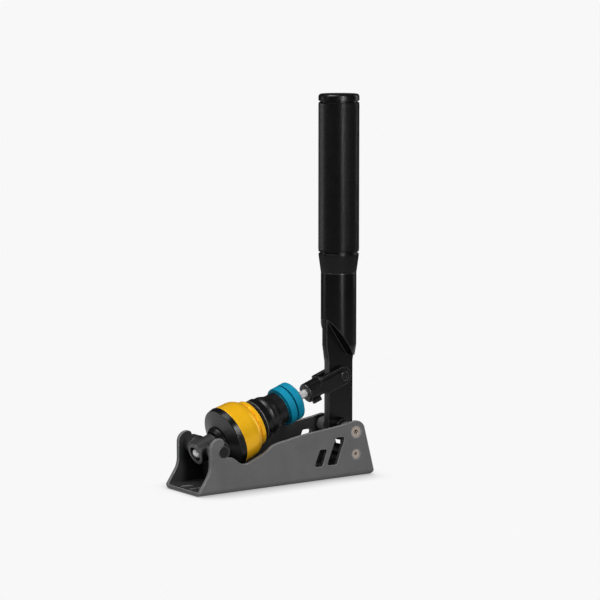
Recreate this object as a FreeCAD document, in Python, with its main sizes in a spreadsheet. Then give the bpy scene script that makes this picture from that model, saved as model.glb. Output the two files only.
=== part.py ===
import FreeCAD, Part
import math
import os
import Sketcher

# Sim racing handbrake. Millimetres, +Z up. +X runs from the open front end of the base towards the lever,
# +Y runs to the side that carries the signal socket. The origin is the bottom centre of the object's box.

doc = FreeCAD.newDocument("sim_handbrake")
V = FreeCAD.Vector

# ------------------------------------------------------------------ driving dimensions
sheet = doc.addObject("Spreadsheet::Sheet", "dims")
DIMS = [
    # base bracket
    ("base_front", -102.0), ("base_rear", 102.0), ("floor_rear", 97.8), ("base_width", 60.0), ("sheet_thick", 4.0),
    ("bend_inner", 1.5), ("window_corner", 2.4),
    ("slot_row", 8.0), ("slot_front", -92.0), ("slot_pitch", 140.0), ("slot_half", 3.3), ("slot_run", 5.4),
    # main centres
    ("pivot_x", 80.4), ("pivot_z", 44.4), ("stop_drop", 21.9),
    ("trunnion_x", -74.6), ("trunnion_z", 40.4), ("tilt", 20.0938), ("pin_dist", 165.045),
    ("lever_x", 80.4), ("pin_height", 97.1),
    # pivot
    ("axle_rad", 6.0), ("axle_bore", 3.0), ("spacer_rad", 8.0), ("spacer_start", 12.3),
    ("bush_clear", 0.05), ("bush_rad", 7.0), ("bush_flange", 7.7), ("hub_rad", 10.6), ("hub_end", 11.0),
    ("hub_screw_ring", 9.05), ("hub_screw_rad", 0.8), ("hub_head_rad", 1.3),
    ("pivot_head", 5.7), ("pivot_recess", 6.2), ("stop_head", 4.7), ("stop_recess", 5.3), ("stop_thread", 2.5),
    ("stop_rad", 5.0), ("stop_sleeve_rad", 6.0), ("stop_gap", 0.3),
    # lever
    ("tongue_half", 4.0), ("lever_low", 15.0), ("lever_high", 17.5), ("cone_bottom", 111.0), ("cone_top", 128.0),
    ("shaft_top", 199.2), ("core_rad", 12.0), ("core_top", 365.1), ("foot_rad", 11.6), ("pin_hole", 4.3),
    ("scarf_low", 117.5), ("scarf_mid", 128.3), ("scarf_slope", 1.45),
    ("collar_top", 217.6), ("collar_rad", 19.75), ("grip_rad", 20.0), ("grip_start", 219.5), ("neck_rad", 18.4),
    ("cap_start", 366.5), ("cap_top", 373.3), ("cap_round", 3.2), ("bolt_rad", 4.0), ("bolt_head", 6.5),
    # damper unit, lengths along its own axis from the trunnion axis
    ("shank_rad", 11.0), ("shank_tail", -14.3), ("shank_end", 8.0), ("shank_flat", 10.5), ("counterbore", 7.2),
    ("journal_rad", 6.0), ("journal_gap", 0.12), ("shoulder_rad", 9.8), ("shoulder_in", 14.2), ("neck_small", 8.0),
    ("collar_small", 12.4), ("collar_large", 15.5), ("cover_start", 15.6), ("cover_knee", 20.0), ("cover_end", 25.7),
    ("cover_rad", 30.0), ("housing_rad", 29.7), ("cell_rad", 23.0), ("cell_start", 26.0), ("cell_end", 42.0),
    ("button_rad", 8.0), ("button_end", 44.0), ("sleeve_rad", 17.0), ("sleeve_end", 59.5), ("washer_end", 60.3),
    ("flange_rad", 20.5), ("flange_end", 67.0), ("black_end", 89.0), ("blue_mid", 97.9), ("blue_end", 106.8),
    ("blue_rad", 19.4), ("rod_rad", 4.0), ("rod_start", 58.0), ("rod_end", 142.0), ("guide_clear", 0.05),
    ("soft_bore", 4.6), ("press_end", 108.8), ("nut_end", 113.3),
    ("fork_start", 122.3), ("fork_body", 139.8), ("fork_slot", 144.0), ("fork_half", 9.0), ("fork_neck", 9.2),
    ("fork_gap", 4.3), ("clip_inner", 9.25), ("clip_thick", 1.2),
]
VAL = {}
for i, (name, value) in enumerate(DIMS):
    cell = "A%d" % (i + 1)
    sheet.set(cell, repr(value))
    sheet.setAlias(cell, name)
    VAL[name] = value
doc.recompute()


class Q:
    """A length that carries its present value and the sheet formula that gives it."""

    def __init__(self, value, text):
        self.value = float(value)
        self.text = text

    def __add__(self, o):
        o = q(o)
        return Q(self.value + o.value, "(%s + %s)" % (self.text, o.text))

    def __sub__(self, o):
        o = q(o)
        return Q(self.value - o.value, "(%s - %s)" % (self.text, o.text))

    def __mul__(self, o):
        o = q(o)
        return Q(self.value * o.value, "(%s * %s)" % (self.text, o.text))

    def __neg__(self):
        return Q(-self.value, "(0 - %s)" % self.text)

    def __radd__(self, o):
        return q(o) + self

    def __rsub__(self, o):
        return q(o) - self

    def __rmul__(self, o):
        return q(o) * self


def q(v):
    if isinstance(v, Q):
        return v
    return Q(v, "(0 - %r)" % abs(v) if v < 0 else repr(float(v)))


def D(name):
    return Q(VAL[name], "dims." + name)


def num(v):
    return v.value if isinstance(v, Q) else float(v)


def bind(obj, prop, v):
    if isinstance(v, Q):
        obj.setExpression(prop, v.text)
    else:
        setattr(obj, prop, float(v))


# ------------------------------------------------------------------ building blocks

def place(obj, kind):
    """Put a body on the damper axis, the pivot axis, the stop axis, the lever axis or leave it in the base frame."""
    if kind == "damper":
        obj.Placement = FreeCAD.Placement(V(VAL["trunnion_x"], 0, VAL["trunnion_z"]),
                                          FreeCAD.Rotation(V(0, 1, 0), -VAL["tilt"]))
        obj.setExpression("Placement", "placement(vector(dims.trunnion_x; 0; dims.trunnion_z); "
                                       "rotation(vector(0; 1; 0); 0 - dims.tilt))")
    elif kind == "pivot":
        obj.Placement = FreeCAD.Placement(V(VAL["pivot_x"], 0, VAL["pivot_z"]), FreeCAD.Rotation())
        obj.setExpression("Placement.Base.x", "dims.pivot_x")
        obj.setExpression("Placement.Base.z", "dims.pivot_z")
    elif kind == "stop":
        obj.Placement = FreeCAD.Placement(V(VAL["pivot_x"], 0, VAL["pivot_z"] - VAL["stop_drop"]), FreeCAD.Rotation())
        obj.setExpression("Placement.Base.x", "dims.pivot_x")
        obj.setExpression("Placement.Base.z", "dims.pivot_z - dims.stop_drop")
    elif kind == "lever":
        obj.Placement = FreeCAD.Placement(V(VAL["lever_x"], 0, 0), FreeCAD.Rotation())
        obj.setExpression("Placement.Base.x", "dims.lever_x")


def new_body(label, kind="base"):
    b = doc.addObject("PartDesign::Body", label)
    b.Label = label
    place(b, kind)
    return b


def plane(b, role):
    return [o for o in b.Origin.OriginFeatures if o.Role == role][0]


def sketch(b, role, segs, offset=0.0):
    """A closed outline on one of the body's origin planes. segs: ("l", p0, p1), ("a", p0, pm, p1), ("c", centre, r),
    ("s", [points])."""
    sk = b.newObject("Sketcher::SketchObject", "Sketch")
    sk.AttachmentSupport = (plane(b, role), [""])
    sk.MapMode = "FlatFace"
    if isinstance(offset, Q) or offset:
        sk.AttachmentOffset = FreeCAD.Placement(V(0, 0, num(offset)), FreeCAD.Rotation())
        if isinstance(offset, Q):
            sk.setExpression("AttachmentOffset.Base.z", offset.text)
    outline = []
    for seg in segs:
        if seg[0] == "c":
            cx, cy, r = num(seg[1][0]), num(seg[1][1]), num(seg[2])
            g = sk.addGeometry(Part.Circle(V(cx, cy, 0), V(0, 0, 1), r), False)
            n = sk.addConstraint(Sketcher.Constraint("Radius", g, r))
            if isinstance(seg[2], Q):
                sk.setExpression("Constraints[%d]" % n, seg[2].text)
            pin(sk, g, 3, seg[1])
        elif seg[0] == "l":
            p0, p1 = seg[1], seg[2]
            g = sk.addGeometry(Part.LineSegment(V(num(p0[0]), num(p0[1]), 0), V(num(p1[0]), num(p1[1]), 0)), False)
            outline.append((g, 1, 2, p0))
        elif seg[0] == "a":
            p0, pm, p1 = [V(num(p[0]), num(p[1]), 0) for p in seg[1:4]]
            circle = Part.Arc(p0, pm, p1).toShape().Curve
            cen, rad = circle.Center, circle.Radius
            ang = [math.atan2(p.y - cen.y, p.x - cen.x) for p in (p0, pm, p1)]
            # an arc in a sketch always runs counter-clockwise, so its start may be the segment's end
            first = (ang[1] - ang[0]) % (2 * math.pi) < (ang[2] - ang[0]) % (2 * math.pi)
            a0, a1 = (ang[0], ang[2]) if first else (ang[2], ang[0])
            if a1 <= a0:
                a1 += 2 * math.pi
            g = sk.addGeometry(Part.ArcOfCircle(Part.Circle(cen, V(0, 0, 1), rad), a0, a1), False)
            chord = p1 - p0
            if chord.Length > 1.9 * rad:
                # near a half circle the radius fixes the centre badly, so the centre is held across the chord
                i, kind = (0, "DistanceX") if abs(chord.y) > abs(chord.x) else (1, "DistanceY")
                same = abs(num(seg[1][i]) - (cen.x, cen.y)[i]) < 1e-9
                if abs((cen.x, cen.y)[i]) < 1e-9:
                    sk.addConstraint(Sketcher.Constraint("PointOnObject", g, 3, -2 if i == 0 else -1))
                else:
                    n = sk.addConstraint(Sketcher.Constraint(kind, -1, 1, g, 3, (cen.x, cen.y)[i]))
                    if same and isinstance(seg[1][i], Q):
                        sk.setExpression("Constraints[%d]" % n, seg[1][i].text)
            else:
                sk.addConstraint(Sketcher.Constraint("Radius", g, rad))
            outline.append((g, 1 if first else 2, 2 if first else 1, seg[1]))
        elif seg[0] == "s":
            pts = [V(num(p[0]), num(p[1]), 0) for p in seg[1]]
            c = Part.BSplineCurve()
            c.interpolate(Points=pts)
            g = sk.addGeometry(c, False)
            outline.append((g, 1, 2, seg[1][0]))
    for i, (g, a, b2, p) in enumerate(outline):
        h = outline[(i + 1) % len(outline)]
        sk.addConstraint(Sketcher.Constraint("Coincident", g, b2, h[0], h[1]))
        pin(sk, g, a, p)
    return sk


def pin(sk, g, pos, p):
    """Hold a point of the sketch by its two distances from the origin."""
    for kind, v in (("DistanceX", p[0]), ("DistanceY", p[1])):
        if not isinstance(v, Q) and abs(v) < 1e-9:
            # on an axis
            sk.addConstraint(Sketcher.Constraint("PointOnObject", g, pos, -2 if kind == "DistanceX" else -1))
            continue
        n = sk.addConstraint(Sketcher.Constraint(kind, -1, 1, g, pos, num(v)))
        if isinstance(v, Q):
            sk.setExpression("Constraints[%d]" % n, v.text)


def poly(pts):
    """Points joined by lines; an entry ("m", x, y) between two points makes that stretch an arc through it."""
    segs, n, k = [], len(pts), 0
    while k < n:
        p0 = pts[k]
        nxt = pts[(k + 1) % n]
        if len(nxt) == 3:
            segs.append(("a", p0, nxt[1:], pts[(k + 2) % n]))
            k += 2
        else:
            segs.append(("l", p0, nxt))
            k += 1
    return segs


def rounded(pts, r):
    """A polygon with every corner rounded to r."""
    cut = []
    for i, p in enumerate(pts):
        a, c = pts[i - 1], pts[(i + 1) % len(pts)]
        u = V(a[0] - p[0], a[1] - p[1], 0).normalize()
        w = V(c[0] - p[0], c[1] - p[1], 0).normalize()
        half = u.getAngle(w) / 2
        run = r / math.tan(half)
        mid = (u + w).normalize() * (r / math.sin(half) - r)
        cut.append(((p[0] + u.x * run, p[1] + u.y * run), (p[0] + mid.x, p[1] + mid.y), (p[0] + w.x * run, p[1] + w.y * run)))
    segs = []
    for i, (p0, pm, p1) in enumerate(cut):
        segs.append(("a", p0, pm, p1))
        segs.append(("l", p1, cut[(i + 1) % len(cut)][0]))
    return segs


def volume(b):
    doc.recompute()
    return b.Shape.Volume if not b.Shape.isNull() else 0.0


def turned(label, kind, axis, pts):
    """A turned piece: outline (distance along the axis, radius), revolved about the body's X, Y or Z axis."""
    b = new_body(label, kind)
    if axis == "x":
        sk = sketch(b, "XZ_Plane", poly(pts))
        ref = "H_Axis"
    else:
        flip = [(p[0], p[2], p[1]) if len(p) == 3 else (p[1], p[0]) for p in pts]
        sk = sketch(b, "XY_Plane" if axis == "y" else "XZ_Plane", poly(flip))
        ref = "V_Axis"
    rev = b.newObject("PartDesign::Revolution", "Revolution")
    rev.Profile = sk
    rev.ReferenceAxis = (sk, [ref])
    rev.Angle = 360
    b.Tip = rev
    doc.recompute()
    return b


def pad(b, sk, length, symmetric=True, reverse=False):
    p = b.newObject("PartDesign::Pad", "Pad")
    p.Profile = sk
    bind(p, "Length", length)
    if symmetric:
        p.SideType = "Symmetric"
    p.Reversed = reverse
    b.Tip = p
    doc.recompute()
    return p


def pocket(b, sk, length, symmetric=False):
    """A pocket of the given depth. The side that holds material is found by comparing volumes."""
    before = volume(b)
    p = b.newObject("PartDesign::Pocket", "Pocket")
    p.Profile = sk
    bind(p, "Length", length)
    if symmetric:
        p.SideType = "Symmetric"
    b.Tip = p
    if volume(b) > before - 1e-3:
        p.Reversed = True
        if volume(b) > before - 1e-3:
            raise SystemExit("pocket of %s cuts nothing" % b.Label)
    return p


def circle_edges(b, axis, marks):
    """Names of the circular edges at given (place along the body's axis, radius)."""
    shape = b.Tip.Shape
    names = []
    for i, e in enumerate(shape.Edges):
        if isinstance(e.Curve, Part.Circle):
            c = e.Curve.Center
            along = (c.x, c.y, c.z)["xyz".index(axis)]
            for s, r in marks:
                if abs(along - num(s)) < 2e-3 and abs(e.Curve.Radius - num(r)) < 2e-3:
                    names.append("Edge%d" % (i + 1))
    return names


def dress(b, how, size, names):
    if not names:
        raise SystemExit("no edges for %s" % b.Label)
    tip = b.Tip
    f = b.newObject("PartDesign::" + how, how)
    f.Base = (tip, names)
    bind(f, "Radius" if how == "Fillet" else "Size", size)
    b.Tip = f
    doc.recompute()
    return f


def hexagon(across, cx=0.0, cy=0.0, turn=0.0):
    r = across / math.sqrt(3.0)
    pts = [(cx + r * math.cos(math.radians(60 * k + turn)), cy + r * math.sin(math.radians(60 * k + turn)))
           for k in range(6)]
    return [("l", pts[k], pts[(k + 1) % 6]) for k in range(6)]


NODES = {}


def keep(obj, label=None):
    if label:
        obj.Label = label
    NODES[obj.Label] = obj
    return obj


def pair(label, b):
    """The piece and its mirror image on the other side of the middle plane, as one group of separate solids."""
    m = doc.addObject("Part::Mirroring", label + "_far")
    m.Source = b
    m.Normal = V(0, 1, 0)
    m.Base = V(0, 0, 0)
    c = doc.addObject("Part::Compound", label + "_group")
    c.Links = [b, m]
    b.Label = label + "_near"
    doc.recompute()
    return keep(c, label)


# ------------------------------------------------------------------ base bracket
# Folded sheet: the side outline is padded over the full width, the channel is cut out of it along X, the two bends
# are rounded outside, and the flat floor runs a little shorter than the sides at the rear.
TX, TZ = VAL["trunnion_x"], VAL["trunnion_z"]
notch = VAL["journal_rad"] + VAL["journal_gap"]
F = VAL["base_front"]
a285 = math.radians(285.0)
lip = (TX + notch * math.cos(a285), TZ + notch * math.sin(a285))
crest = [lip, (-70.5, 34.75), (-66.2, 34.4), (-61.1, 31.6), (-56.6, 28.2), (-52.0, 26.4), (-47.4, 26.6), (-42.8, 28.4),
         (-38.2, 30.2), (-33.6, 32.0), (-29.0, 33.9), (-24.4, 36.6), (-19.7, 40.1), (-14.6, 42.0), (-1.1, 44.4),
         (8.3, 46.1), (27.2, 48.7), (51.0, 51.0), (66.0, 52.9), (78.87, 55.2)]
side = [
    ("l", (D("base_front"), 0.0), (D("base_front"), 4.0)),
    ("l", (D("base_front"), 4.0), (F + 8.96, 17.21)),
    ("a", (F + 8.96, 17.21), (F + 11.524, 22.72), (F + 12.4, 28.42)),
    ("l", (F + 12.4, 28.42), (F + 12.4, 43.7)),
    ("a", (F + 12.4, 43.7), (F + 12.4 + 2.9289, 43.7 + 7.0711), (F + 22.4, 53.7)),
    ("l", (F + 22.4, 53.7), (F + 23.4, 53.7)),
    ("a", (F + 23.4, 53.7), (F + 23.4 + 2.8284, 49.7 + 2.8284), (F + 27.4, 49.7)),
    ("l", (F + 27.4, 49.7), (TX, TZ + notch + 1.0)),
    ("a", (TX, TZ + notch + 1.0), (TX - 0.293, TZ + notch + 0.293), (TX - 1.0, TZ + math.sqrt(notch * notch - 1.0))),
    ("a", (TX - 1.0, TZ + math.sqrt(notch * notch - 1.0)), (TX - notch, TZ), lip),
    ("s", crest),
    ("a", (78.87, 55.2), (85.4, 54.1), (90.18, 48.95)),
    ("l", (90.18, 48.95), (101.85, 5.28)),
    ("a", (101.85, 5.28), (101.13, 1.64), (97.8, 0.0)),
    ("l", (97.8, 0.0), (D("base_front"), 0.0)),
]
base = new_body("base_bracket")
sk = sketch(base, "XZ_Plane", side)
pad(base, sk, D("base_width"))
inner = D("base_width") * 0.5 - D("sheet_thick")
t, ri = VAL["sheet_thick"], VAL["bend_inner"]
yi, yo = VAL["base_width"] / 2 - t, VAL["base_width"] / 2
k = 1 - math.sqrt(0.5)
channel = poly([(-yi, 80.0), (-yi, t + ri), ("m", -yi + k * ri, t + k * ri), (-yi + ri, t), (yi - ri, t),
                ("m", yi - k * ri, t + k * ri), (yi, t + ri), (yi, 80.0)])
pocket(base, sketch(base, "YZ_Plane", channel), 400.0, symmetric=True)
ro = t + ri
for sgn in (-1, 1):
    bend = poly([(sgn * yo, -1.0), (sgn * yo, ro), ("m", sgn * (yo - k * ro), k * ro), (sgn * (yo - ro), 0.0),
                 (sgn * (yo - ro), -1.0)])
    pocket(base, sketch(base, "YZ_Plane", bend), 400.0, symmetric=True)
# lightening windows, through both sides
short = [(29.9, 14.4), (39.6, 14.4), (46.0, 31.0), (36.9, 31.0)]
long_w = [(45.0, 14.4), (56.9, 14.4), (67.1, 41.0), (55.9, 41.0)]
for win in (short, long_w):
    pocket(base, sketch(base, "XZ_Plane", rounded(win, VAL["window_corner"])), 100.0, symmetric=True)
# pivot and stop screw seats, from both sides
px, pz, sz = D("pivot_x"), D("pivot_z"), D("pivot_z") - D("stop_drop")
pocket(base, sketch(base, "XZ_Plane", [("c", (px, pz), D("axle_bore"))]), 100.0, symmetric=True)
pocket(base, sketch(base, "XZ_Plane", [("c", (px, sz), D("stop_thread"))]), 100.0, symmetric=True)
for head, hole, zz in ((VAL["pivot_recess"], VAL["axle_bore"], VAL["pivot_z"]),
                       (VAL["stop_recess"], VAL["stop_thread"], VAL["pivot_z"] - VAL["stop_drop"])):
    for sgn in (-1, 1):
        cone = [(sgn * (yo - head + hole), 0.0), (sgn * (yo - head + hole), hole), (sgn * yo, head),
                (sgn * (yo + 1.0), head), (sgn * (yo + 1.0), 0.0)]
        if head - hole >= t:
            raise SystemExit("screw seat deeper than the sheet")
        gsk = base.newObject("Sketcher::SketchObject", "Seat")
        gsk.AttachmentSupport = (plane(base, "XY_Plane"), [""])
        gsk.MapMode = "FlatFace"
        gsk.AttachmentOffset = FreeCAD.Placement(V(VAL["pivot_x"], 0, zz), FreeCAD.Rotation())
        gsk.setExpression("AttachmentOffset.Base.x", "dims.pivot_x")
        for a, b2 in zip(cone, cone[1:] + cone[:1]):
            gsk.addGeometry(Part.LineSegment(V(a[1], a[0], 0), V(b2[1], b2[0], 0)), False)
        for i in range(5):
            gsk.addConstraint(Sketcher.Constraint("Coincident", i, 2, (i + 1) % 5, 1))
        for i, c in enumerate(cone):
            pin(gsk, i, 1, (c[1], c[0]))
        before = volume(base)
        g = base.newObject("PartDesign::Groove", "Countersink")
        g.Profile = gsk
        g.ReferenceAxis = (gsk, ["V_Axis"])
        g.Angle = 360
        base.Tip = g
        if volume(base) > before - 1.0:
            raise SystemExit("countersink cuts nothing")
# flat floor between the bends, with four slots
floor = sketch(base, "XY_Plane", poly([(D("base_front"), -(inner - D("bend_inner"))),
                                       (D("floor_rear"), -(inner - D("bend_inner"))),
                                       (D("floor_rear"), inner - D("bend_inner")),
                                       (D("base_front"), inner - D("bend_inner"))]))
pad(base, floor, D("sheet_thick"), symmetric=False)
row, sf, sp, sr, half = D("slot_row"), D("slot_front"), D("slot_pitch"), D("slot_half"), D("slot_run") * 0.5
for xx in (sf, sf + sp):
    for sgn in (-1, 1):
        yy = row if sgn > 0 else -row
        seg = [("l", (xx - half, yy - sr), (xx + half, yy - sr)),
               ("a", (xx + half, yy - sr), (xx + half + sr, yy), (xx + half, yy + sr)),
               ("l", (xx + half, yy + sr), (xx - half, yy + sr)),
               ("a", (xx - half, yy + sr), (xx - half - sr, yy), (xx - half, yy - sr))]
        pocket(base, sketch(base, "XY_Plane", seg), 20.0, symmetric=True)
keep(base)

# ------------------------------------------------------------------ lever pivot and stop
wall = D("base_width") * 0.5 - D("sheet_thick")
b = turned("pivot_axle", "pivot", "y", [(-wall, D("axle_bore")), (-wall, D("axle_rad")), (wall, D("axle_rad")),
                                        (wall, D("axle_bore"))])
keep(b)

hp = VAL["pivot_recess"] - VAL["pivot_head"]
b = turned("pivot_screw", "pivot", "y",
           [(-(yo - hp), 0.0), (-(yo - hp), D("pivot_head")), (-(yo - VAL["pivot_recess"] + VAL["axle_bore"]), D("axle_bore")),
            (-14.0, D("axle_bore")), (-13.2, 2.4), (-13.2, 0.0)])
pocket(b, sketch(b, "XZ_Plane", hexagon(4.0), offset=yo - hp), 2.4)
pair("pivot_screws", b)

b = turned("pivot_spacer", "pivot", "y",
           [(-wall, D("axle_rad")), (-wall, D("spacer_rad")), (-D("spacer_start"), D("spacer_rad")),
            (-D("spacer_start"), D("axle_rad"))])
dress(b, "Chamfer", 0.5, circle_edges(b, "y", [(-VAL["spacer_start"], VAL["spacer_rad"])]))
pair("pivot_spacers", b)

b = turned("stop_tube", "stop", "y", [(-wall, D("stop_thread")), (-wall, D("stop_rad")), (wall, D("stop_rad")),
                                      (wall, D("stop_thread"))])
keep(b)
b = turned("stop_sleeve", "stop", "y", [(-10.0, D("stop_rad")), (-10.0, D("stop_sleeve_rad")),
                                        (10.0, D("stop_sleeve_rad")), (10.0, D("stop_rad"))])
dress(b, "Fillet", 0.5, circle_edges(b, "y", [(-10.0, VAL["stop_sleeve_rad"]), (10.0, VAL["stop_sleeve_rad"])]))
keep(b)
hs = VAL["stop_recess"] - VAL["stop_head"]
b = turned("stop_screw", "stop", "y",
           [(-(yo - hs), 0.0), (-(yo - hs), D("stop_head")), (-(yo - VAL["stop_recess"] + VAL["stop_thread"]), D("stop_thread")),
            (-16.0, D("stop_thread")), (-15.3, 1.9), (-15.3, 0.0)])
pocket(b, sketch(b, "XZ_Plane", hexagon(3.0), offset=yo - hs), 2.0)
pair("stop_screws", b)

# ------------------------------------------------------------------ lever
b = turned("lever_shaft", "lever", "z",
           [(5.0, 0.0), (5.0, D("lever_low")), (D("cone_bottom"), D("lever_low")), (D("cone_top"), D("lever_high")),
            (D("shaft_top"), D("lever_high")), (D("shaft_top"), D("core_rad")), (D("core_top"), D("core_rad")),
            (D("core_top"), 0.0)])
dress(b, "Chamfer", 0.4, circle_edges(b, "z", [(VAL["shaft_top"], VAL["lever_high"])]))
slope, mid, low = VAL["scarf_slope"], VAL["scarf_mid"], VAL["scarf_low"]
flat = [(-22.0, 0.0), (22.0, 0.0), (22.0, D("scarf_low")), ((mid - low) / slope, D("scarf_low")),
        (-22.0, D("scarf_mid") + 22.0 * slope)]
# a pocket from the XZ plane runs towards +Y, so the near flat starts outside the bar
for start in (D("tongue_half") + 30.0, -D("tongue_half")):
    pocket(b, sketch(b, "XZ_Plane", poly(flat), offset=start), 30.0)
dx = D("pivot_x") - D("lever_x")
ddx, pzv = VAL["pivot_x"] - VAL["lever_x"], VAL["pivot_z"]
fr = VAL["foot_rad"]


def about_pivot(rad, deg):
    return (ddx + rad * math.cos(math.radians(deg)), pzv + rad * math.sin(math.radians(deg)))


# the foot ends round under the hub; only a narrow tail runs on behind the stop sleeve, which it rests against
tail = ddx + 4.9
left = about_pivot(fr, 200.0)
right = about_pivot(fr, -math.degrees(math.acos((tail - ddx) / fr)))
pocket(b, sketch(b, "XZ_Plane", poly([(-20.0, 2.0), (ddx + 6.4, 2.0), (ddx + 6.4, 24.0), (ddx + 5.0, 26.8), (tail, 27.6), right,
                                      ("m",) + about_pivot(fr, 250.0), left, (-20.0, left[1])])), 60.0, symmetric=True)
pocket(b, sketch(b, "XZ_Plane", poly([(4.0, 2.0), (20.0, 2.0), (20.0, 12.0), (4.0, 12.0)])), 60.0, symmetric=True)
pocket(b, sketch(b, "XZ_Plane", [("c", (dx, D("pivot_z")), D("bush_rad"))]), 60.0, symmetric=True)
pocket(b, sketch(b, "XZ_Plane", [("c", (0.0, D("pin_height")), D("pin_hole"))]), 60.0, symmetric=True)
for ang in (30, 150, 270):
    c = (ddx + VAL["hub_screw_ring"] * math.cos(math.radians(ang)), pzv + VAL["hub_screw_ring"] * math.sin(math.radians(ang)))
    pocket(b, sketch(b, "XZ_Plane", [("c", c, D("hub_screw_rad"))]), 60.0, symmetric=True)
# threaded hole for the grip bolt
pocket(b, sketch(b, "XY_Plane", [("c", (0.0, 0.0), D("bolt_rad"))], offset=D("core_top")), 30.0)
keep(b)

b = turned("hub_disc", "pivot", "y", [(-D("hub_end"), D("bush_rad")), (-D("hub_end"), D("hub_rad")),
                                      (-D("tongue_half"), D("hub_rad")), (-D("tongue_half"), D("bush_rad"))])
dress(b, "Chamfer", 0.2, circle_edges(b, "y", [(-VAL["hub_end"], VAL["hub_rad"])]))
hub_at = [(VAL["hub_screw_ring"] * math.cos(math.radians(a)), VAL["hub_screw_ring"] * math.sin(math.radians(a)))
          for a in (30, 150, 270)]
for c in hub_at:
    pocket(b, sketch(b, "XZ_Plane", [("c", c, D("hub_screw_rad"))]), 60.0, symmetric=True)
    pocket(b, sketch(b, "XZ_Plane", [("c", c, D("hub_head_rad"))], offset=D("hub_end")), 2.0)
pair("hub_discs", b)

# hub screws: one turned screw, repeated at three places on each side
one = turned("hub_screw", "pivot", "y",
             [(-D("hub_end"), 0.0), (-D("hub_end"), D("hub_head_rad")), (-(D("hub_end") - 2.0), D("hub_head_rad")),
              (-(D("hub_end") - 2.0), D("hub_screw_rad")), (-0.6, D("hub_screw_rad")), (-0.6, 0.0)])
pocket(one, sketch(one, "XZ_Plane", hexagon(1.5), offset=D("hub_end")), 1.1)
copies = []
for n, c in enumerate(hub_at):
    link = doc.addObject("Part::Feature", "hub_screw_%d" % n)
    shape = one.Shape.copy()
    shape.translate(V(c[0], 0, c[1]))
    link.Shape = shape
    copies.append(link)
near = doc.addObject("Part::Compound", "hub_screws_near")
near.Links = copies
far = doc.addObject("Part::Mirroring", "hub_screws_far")
far.Source = near
far.Normal = V(0, 1, 0)
grp = doc.addObject("Part::Compound", "hub_screws_group")
grp.Links = [near, far]
doc.recompute()
keep(grp, "hub_screws")

bi = D("axle_rad") + D("bush_clear")
b = turned("pivot_bush", "pivot", "y", [(-(D("hub_end") + 1.0), bi), (-(D("hub_end") + 1.0), D("bush_flange")),
                                        (-D("hub_end"), D("bush_flange")), (-D("hub_end"), D("bush_rad")),
                                        (-0.5, D("bush_rad")), (-0.5, bi)])
pair("pivot_bushes", b)

b = turned("grip_collar", "lever", "z", [(D("shaft_top"), D("core_rad")), (D("shaft_top"), D("lever_high")),
                                         (D("collar_top") - 2.0, D("collar_rad")), (D("collar_top"), D("collar_rad")),
                                         (D("collar_top"), D("neck_rad")), (D("grip_start"), D("neck_rad")),
                                         (D("grip_start"), D("core_rad"))])
dress(b, "Chamfer", 0.3, circle_edges(b, "z", [(VAL["collar_top"], VAL["collar_rad"])]))
keep(b)

b = turned("grip_sleeve", "lever", "z", [(D("grip_start"), D("core_rad")), (D("grip_start"), D("grip_rad")),
                                         (D("core_top"), D("grip_rad")), (D("core_top"), D("core_rad"))])
dress(b, "Chamfer", 0.5, circle_edges(b, "z", [(VAL["grip_start"], VAL["grip_rad"]), (VAL["core_top"], VAL["grip_rad"])]))
keep(b)

b = turned("end_cap", "lever", "z", [(D("core_top"), D("bolt_rad")), (D("core_top"), D("neck_rad")),
                                     (D("cap_start"), D("neck_rad")), (D("cap_start"), D("grip_rad")),
                                     (D("cap_top"), D("grip_rad")), (D("cap_top"), 7.0), (D("cap_top") - 5.5, 7.0),
                                     (D("cap_top") - 5.5, D("bolt_rad"))])
dress(b, "Fillet", D("cap_round"), circle_edges(b, "z", [(VAL["cap_top"], VAL["grip_rad"])]))
dress(b, "Chamfer", 0.4, circle_edges(b, "z", [(VAL["cap_start"], VAL["grip_rad"]), (VAL["cap_top"], 7.0)]))
keep(b)

b = turned("grip_bolt", "lever", "z", [(D("core_top") - 28.0, 0.0), (D("core_top") - 28.0, D("bolt_rad")),
                                       (D("cap_top") - 5.5, D("bolt_rad")), (D("cap_top") - 5.5, D("bolt_head")),
                                       (D("cap_top") - 0.5, D("bolt_head")), (D("cap_top") - 0.5, 0.0)])
dress(b, "Chamfer", 0.5, circle_edges(b, "z", [(VAL["cap_top"] - 0.5, VAL["bolt_head"])]))
pocket(b, sketch(b, "XY_Plane", hexagon(5.0), offset=D("cap_top") - 0.5), 3.0)
keep(b)

# ------------------------------------------------------------------ damper unit
bolt = VAL["bolt_rad"]
b = turned("trunnion", "damper", "y",
           [(-30.0, 0.0), (-30.0, D("journal_rad")), (-(wall - 0.3), D("journal_rad")), (-(wall - 0.3), D("shoulder_rad")),
            (-D("shoulder_in"), D("shoulder_rad")), (-D("shoulder_in"), D("neck_small")), (-D("shank_flat"), D("neck_small")),
            (-D("shank_flat"), D("bolt_rad")), (-4.6, D("bolt_rad")), (-4.6, 0.0)])
dress(b, "Chamfer", 0.5, circle_edges(b, "y", [(-30.0, VAL["journal_rad"]), (-(26.0 - 0.3), VAL["shoulder_rad"])]))
pair("trunnions", b)

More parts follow.
